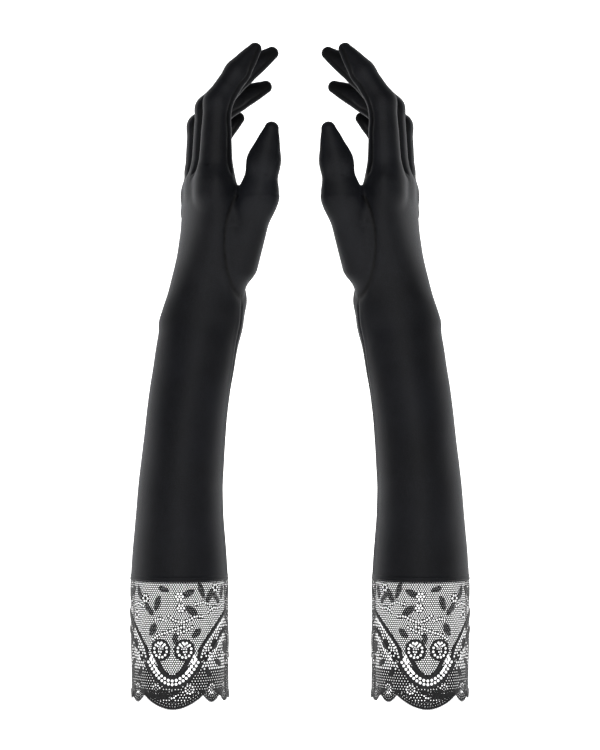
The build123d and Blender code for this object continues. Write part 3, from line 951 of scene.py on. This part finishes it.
for side in SIDES:
    lace = make_mesh("lace_ground", side, lace_points, lace_faces, {"relief": relief})
    picots = make_mesh("lace_picots", side, picot_points, picot_faces)
    # A seam distance of 9 keeps the band free of the painted seam shade.
    ribbon = make_mesh("cuff_band", side, band, band_faces, {"seam": np.full(len(band), 9.0)})
    threads = make_mesh("cuff_stitches", side, stitch_points, stitch_faces)
    for obj, slot_name in ((lace, "lace"), (picots, "lace"), (ribbon, "satin"), (threads, "satin")):
        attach(obj, f"{side}_sleeve")
    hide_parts(f"{side}_lace_cuff")
    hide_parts(f"{side}_cuff_seam")
    cloth_pieces[side]["lace_ground"] = lace
    cloth_pieces[side]["lace_picots"] = picots
    cloth_pieces[side]["cuff_band"] = ribbon
    cloth_pieces[side]["cuff_stitches"] = threads

# A plain display form fills each cuff, so that its lace is seen against white and not against its
# own far side. It belongs to the stage.
FORM_LOW, FORM_IN = 14.0, -3.0
form_turns = np.linspace(0, tau, 96, endpoint=False)
form_rows = [cuff_point(form_turns, height, FORM_IN) for height in np.linspace(FORM_LOW, SEAM_HIGH + 6, 12)]
form_points = np.concatenate(form_rows)
form_faces = [
    (i * 96 + k, i * 96 + (k + 1) % 96, (i + 1) * 96 + (k + 1) % 96, (i + 1) * 96 + k)
    for i in range(len(form_rows) - 1) for k in range(96)
]
form_faces += [tuple(range(96))[::-1], tuple(len(form_points) - 96 + k for k in range(96))]
forms = []
for side in SIDES:
    form = make_mesh("display_form", side, form_points, form_faces)
    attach(form, f"{side}_sleeve")
    forms.append(form)


# ---- materials --------------------------------------------------------------------------------
class Nodes:
    """Short hand for building a node material."""

    def __init__(self, name):
        self.material = bpy.data.materials.new(name)
        self.material.use_nodes = True
        self.tree = self.material.node_tree
        self.shader = self.tree.nodes["Principled BSDF"]

    def add(self, kind):
        return self.tree.nodes.new(kind)

    def link(self, source, target):
        self.tree.links.new(source, target)

    def noise(self, scale, detail=3.0, stretch=None):
        place = self.add("ShaderNodeTexCoord").outputs["Object"]
        if stretch:
            mapping = self.add("ShaderNodeMapping")
            mapping.inputs["Scale"].default_value = stretch
            self.link(place, mapping.inputs["Vector"])
            place = mapping.outputs["Vector"]
        node = self.add("ShaderNodeTexNoise")
        node.inputs["Scale"].default_value = scale
        node.inputs["Detail"].default_value = detail
        self.link(place, node.inputs["Vector"])
        return node.outputs["Fac"]

    def ramp(self, source, low, high, first, last):
        node = self.add("ShaderNodeMapRange")
        node.inputs["From Min"].default_value = low
        node.inputs["From Max"].default_value = high
        node.inputs["To Min"].default_value = first
        node.inputs["To Max"].default_value = last
        self.link(source, node.inputs["Value"])
        return node.outputs["Result"]

    def math(self, operation, a, b):
        node = self.add("ShaderNodeMath")
        node.operation = operation
        for socket, value in zip(node.inputs, (a, b)):
            if isinstance(value, (int, float)):
                socket.default_value = value
            else:
                self.link(value, socket)
        return node.outputs["Value"]

    def mix(self, share, dark, light):
        node = self.add("ShaderNodeMix")
        node.data_type = "RGBA"
        node.inputs["A"].default_value = (*dark, 1)
        node.inputs["B"].default_value = (*light, 1)
        self.link(share, node.inputs["Factor"])
        return node.outputs["Result"]

    def attribute(self, name):
        node = self.add("ShaderNodeAttribute")
        node.attribute_name = name
        return node.outputs["Fac"]

    def bump(self, height, strength, distance, under=None):
        node = self.add("ShaderNodeBump")
        node.inputs["Strength"].default_value = strength
        node.inputs["Distance"].default_value = distance
        self.link(height, node.inputs["Height"])
        if under:
            self.link(under, node.inputs["Normal"])
        return node.outputs["Normal"]


def satin_material():
    """Black stretch satin: a fine napped knit with a soft sheen, and painted shade along its seams."""
    m = Nodes("black_stretch_satin")
    grain = m.noise(1500, 2.0)
    knit = m.noise(900, 2.0, (1.0, 1.0, 0.25))
    cloud = m.noise(28, 3.0)
    # Painted shade: the colour darkens to near black along the seam lines, standing in for the shadow in each
    # seam's fold.
    seam = m.ramp(m.attribute("seam"), 0.45, 1.1, 0.0, 1.0)
    blotch = m.math("ADD", m.math("MULTIPLY", grain, 0.55), m.math("MULTIPLY", cloud, 0.45))
    base = m.mix(m.ramp(blotch, 0.38, 0.62, 0.0, 1.0), (0.0020, 0.0022, 0.0030), (0.0062, 0.0067, 0.0090))
    dark = m.add("ShaderNodeMix")
    dark.data_type = "RGBA"
    dark.inputs["A"].default_value = (0.0012, 0.0012, 0.0016, 1)
    m.link(base, dark.inputs["B"])
    m.link(seam, dark.inputs["Factor"])
    m.link(dark.outputs["Result"], m.shader.inputs["Base Color"])
    m.link(m.ramp(grain, 0.3, 0.7, 0.50, 0.62), m.shader.inputs["Roughness"])
    m.shader.inputs["Specular IOR Level"].default_value = 0.14
    m.shader.inputs["Sheen Weight"].default_value = 0.035
    m.shader.inputs["Sheen Roughness"].default_value = 0.42
    m.shader.inputs["Sheen Tint"].default_value = (0.62, 0.68, 0.82, 1)
    normal = m.bump(grain, 0.30, 0.00025)
    normal = m.bump(knit, 0.18, 0.00025, normal)
    m.link(normal, m.shader.inputs["Normal"])
    return m.material


def lace_material():
    """Black lace thread: matt, with fine twisted strands, and a painted highlight that makes the raised cords
    slightly lighter.
    """
    m = Nodes("black_lace_thread")
    strand = m.noise(2600, 2.0, (1.0, 1.0, 0.5))
    fray = m.noise(240, 3.0)
    # Painted highlight: the colour is lightened where the cords are raised; the strand noise added to it is the
    # thread's own tone.
    raised = m.ramp(m.attribute("relief"), 0.05, 0.45, 0.0, 0.55)
    share = m.math("ADD", m.math("MULTIPLY", m.ramp(strand, 0.35, 0.65, 0.0, 1.0), 0.4), raised)
    colour = m.mix(share, (0.0022, 0.0022, 0.0026), (0.0140, 0.0142, 0.0160))
    m.link(colour, m.shader.inputs["Base Color"])
    m.link(m.ramp(fray, 0.3, 0.7, 0.62, 0.82), m.shader.inputs["Roughness"])
    m.shader.inputs["Specular IOR Level"].default_value = 0.25
    m.shader.inputs["Sheen Weight"].default_value = 0.10
    m.link(m.bump(strand, 0.5, 0.0003), m.shader.inputs["Normal"])
    return m.material


def thread_material():
    """Sewing thread: a twisted strand, a little glossier than the cloth."""
    m = Nodes("black_sewing_thread")
    place = m.add("ShaderNodeTexCoord").outputs["Object"]
    twist = m.add("ShaderNodeTexWave")
    twist.inputs["Scale"].default_value = 900
    twist.bands_direction = "DIAGONAL"
    m.link(place, twist.inputs["Vector"])
    colour = m.mix(twist.outputs["Fac"], (0.004, 0.004, 0.005), (0.016, 0.0165, 0.019))
    m.link(colour, m.shader.inputs["Base Color"])
    m.link(m.ramp(m.noise(500, 2.0), 0.3, 0.7, 0.4, 0.55), m.shader.inputs["Roughness"])
    m.link(m.bump(twist.outputs["Fac"], 0.5, 0.0002), m.shader.inputs["Normal"])
    return m.material


satin, lace_thread, sewing_thread = satin_material(), lace_material(), thread_material()
for side in SIDES:
    for name, obj in cloth_pieces[side].items():
        kind = lace_thread if name.startswith("lace") else sewing_thread if name.endswith("stitches") else satin
        obj.data.materials.append(kind)


# ---- floor, light and camera ------------------------------------------------------------------
def plain_material(name, colour, glow=0.0):
    m = Nodes(name)
    m.shader.inputs["Base Color"].default_value = (*colour, 1)
    m.shader.inputs["Roughness"].default_value = 0.9
    if glow:
        m.shader.inputs["Emission Color"].default_value = (1, 1, 1, 1)
        m.shader.inputs["Emission Strength"].default_value = glow
    return m.material


def card(name, centre, width, height, turn, material):
    """A flat rectangle of the stage, in metres, turned by Euler angles in radians."""
    mesh = bpy.data.meshes.new(name)
    w, h = width / 2, height / 2
    mesh.from_pydata([(-w, -h, 0), (w, -h, 0), (w, h, 0), (-w, h, 0)], [], [(0, 1, 2, 3)])
    obj = bpy.data.objects.new(name, mesh)
    obj.location, obj.rotation_euler = centre, turn
    obj.data.materials.append(material)
    bpy.context.scene.collection.objects.link(obj)
    return obj


middle = MIDPLANE / MM
paper = plain_material("studio_paper", (0.92, 0.92, 0.92), 1.0)
for form in forms:
    form.data.materials.append(paper)
card("floor", (middle, 0, -0.16), 9, 9, (0, 0, 0), paper)
card("backdrop", (middle, 2.2, 1.2), 12, 9, (pi / 2, 0, 0), paper)

world = bpy.data.worlds.new("studio")
world.use_nodes = True
world.node_tree.nodes["Background"].inputs["Color"].default_value = (1, 1, 1, 1)
world.node_tree.nodes["Background"].inputs["Strength"].default_value = 0.10
bpy.context.scene.world = world


def lamp(name, place, aim, width, height, power):
    data = bpy.data.lights.new(name, "AREA")
    data.shape = "RECTANGLE"
    data.size, data.size_y, data.energy = width, height, power
    obj = bpy.data.objects.new(name, data)
    obj.location = place
    obj.rotation_euler = (Vector(aim) - Vector(place)).to_track_quat("-Z", "Y").to_euler()
    bpy.context.scene.collection.objects.link(obj)


aim = (middle, 0, 0.24)
lamp("front", (middle, -1.6, 0.75), aim, 0.7, 1.1, 12)
for sign, side in ((-1, "left"), (1, "right")):
    lamp(f"{side}_rim", (middle + sign * 1.25, 0.55, 0.45), aim, 0.5, 1.4, 3)

VIEW_HEIGHT = 0.510  # metres that the picture's height spans at the gloves
CAMERA_BACK = 2.2
camera = bpy.data.cameras.new("photograph")
camera.sensor_width = 36
camera.lens = 36 * CAMERA_BACK / VIEW_HEIGHT
viewer = bpy.data.objects.new("photograph", camera)
viewer.location = (middle, -CAMERA_BACK, 0.2248)
viewer.rotation_euler = (pi / 2, 0, 0)
bpy.context.scene.collection.objects.link(viewer)
bpy.context.scene.camera = viewer
bpy.context.scene.view_settings.view_transform = "Standard"
